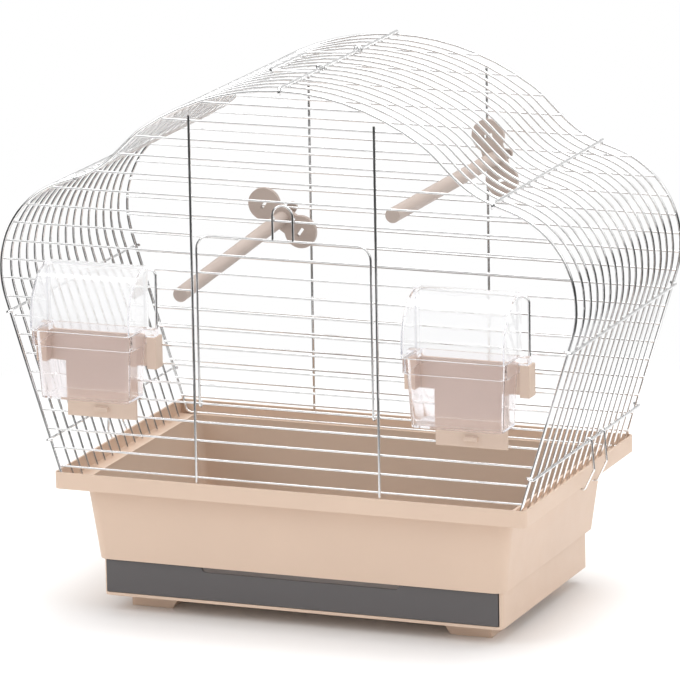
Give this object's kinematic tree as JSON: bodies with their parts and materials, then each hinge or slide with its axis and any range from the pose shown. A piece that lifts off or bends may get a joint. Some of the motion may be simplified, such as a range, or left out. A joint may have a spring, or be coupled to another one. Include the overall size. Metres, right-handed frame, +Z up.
{
  "type": "bird cage",
  "caption": "Domed wire cage for small birds on a moulded tray, with pull-out drawer, hinged door, clip-on clear seed cups with hoods, perches and carrying handle",
  "frame": {"origin": "On the floor, in the plane of the undersides of the feet, under the middle of the whole part, which is 20.1 mm in front of the middle of the wire cage because the feeders stand out in front", "axes": "+Z is up, -Y is the front with the door and feeders, +X is to the right seen from the front"},
  "size_m": [0.5144, 0.3168, 0.4697],
  "materials": {
    "zinc_wire": "bright zinc-plated steel wire",
    "beige_tray": "satin moulded plastic",
    "beige_fittings": "satin moulded plastic",
    "grey_drawer": "smoked moulded plastic",
    "clear_cup": "clear plastic with a faint lavender tint",
    "clear_hood": "clear colourless plastic"
  },
  "bodies": {
    "cage": {"tray": "beige_tray", "drawer_base": "beige_tray", "front_frame_top": "zinc_wire", "front_frame_sides": "zinc_wire", "front_frame_legs": "zinc_wire", "back_frame_top": "zinc_wire", "back_frame_sides": "zinc_wire", "back_frame_legs": "zinc_wire", "front_bars": "zinc_wire", "back_bars": "zinc_wire", "front_posts": "zinc_wire", "back_posts": "zinc_wire", "roof_hoops_right": "zinc_wire", "roof_hoops_left": "zinc_wire", "side_hoops_right": "zinc_wire", "side_hoops_left": "zinc_wire", "leg_hoops_right": "zinc_wire", "leg_hoops_left": "zinc_wire", "ridge_bar": "zinc_wire", "eave_bars": "zinc_wire", "side_bars": "zinc_wire", "bottom_bars": "zinc_wire", "feeder_frame_left": "zinc_wire", "feeder_frame_right": "zinc_wire", "feeder_bracket_left": "beige_fittings", "feeder_bracket_right": "beige_fittings"},
    "drawer": {"drawer": "grey_drawer"},
    "door": {"door_frame": "zinc_wire", "door_bars": "zinc_wire", "door_latch": "zinc_wire"},
    "handle": {"carrying_handle": "zinc_wire"},
    "clip_right": {"clip_right": "zinc_wire"},
    "clip_left": {"clip_left": "zinc_wire"},
    "cup_left": {"seed_cup_left": "clear_cup"},
    "cup_right": {"seed_cup_right": "clear_cup"},
    "hood_left": {"cup_hood_left": "clear_hood"},
    "hood_right": {"cup_hood_right": "clear_hood"},
    "perch_left": {"perch_left": "beige_fittings"},
    "perch_right": {"perch_right": "beige_fittings"}
  },
  "joints": [
    {"name": "drawer_slide", "type": "slide", "parent": "cage", "child": "drawer", "axis": [0, -1, 0], "range_m": [0, 0.2]},
    {"name": "door_hinge", "type": "hinge", "parent": "cage", "child": "door", "pos_m": [0, -0.1101, 0.193], "axis": [1, 0, 0], "range_deg": [0, 160]},
    {"name": "handle_fold", "type": "hinge", "parent": "cage", "child": "handle", "pos_m": [0, 0.0201, 0.46525], "axis": [0, 1, 0], "range_deg": [0, 165]},
    {"name": "clip_right_swing", "type": "hinge", "parent": "cage", "child": "clip_right", "pos_m": [0.21746, 0.0391, 0.15119], "axis": [0, -1, 0], "range_deg": [0, 60]},
    {"name": "clip_left_swing", "type": "hinge", "parent": "cage", "child": "clip_left", "pos_m": [-0.21746, 0.0391, 0.15119], "axis": [0, 1, 0], "range_deg": [0, 60]},
    {"name": "cup_left_lift", "type": "slide", "parent": "cage", "child": "cup_left", "axis": [0, 0, 1], "range_m": [0, 0.06]},
    {"name": "cup_right_lift", "type": "slide", "parent": "cage", "child": "cup_right", "axis": [0, 0, 1], "range_m": [0, 0.06]},
    {"name": "hood_left_lift", "type": "slide", "parent": "cup_left", "child": "hood_left", "axis": [0, 0, 1], "range_m": [0, 0.08]},
    {"name": "hood_right_lift", "type": "slide", "parent": "cup_right", "child": "hood_right", "axis": [0, 0, 1], "range_m": [0, 0.08]},
    {"name": "perch_left_twist", "type": "hinge", "parent": "cage", "child": "perch_left", "pos_m": [-0.1055, 0.1503, 0.297], "axis": [0.0261, -0.9978, -0.061], "range_deg": [-54.5, 35.5]},
    {"name": "perch_right_twist", "type": "hinge", "parent": "cage", "child": "perch_right", "pos_m": [0.091, 0.1503, 0.361], "axis": [0, -1, 0], "range_deg": [-18, 72]}
  ]
}
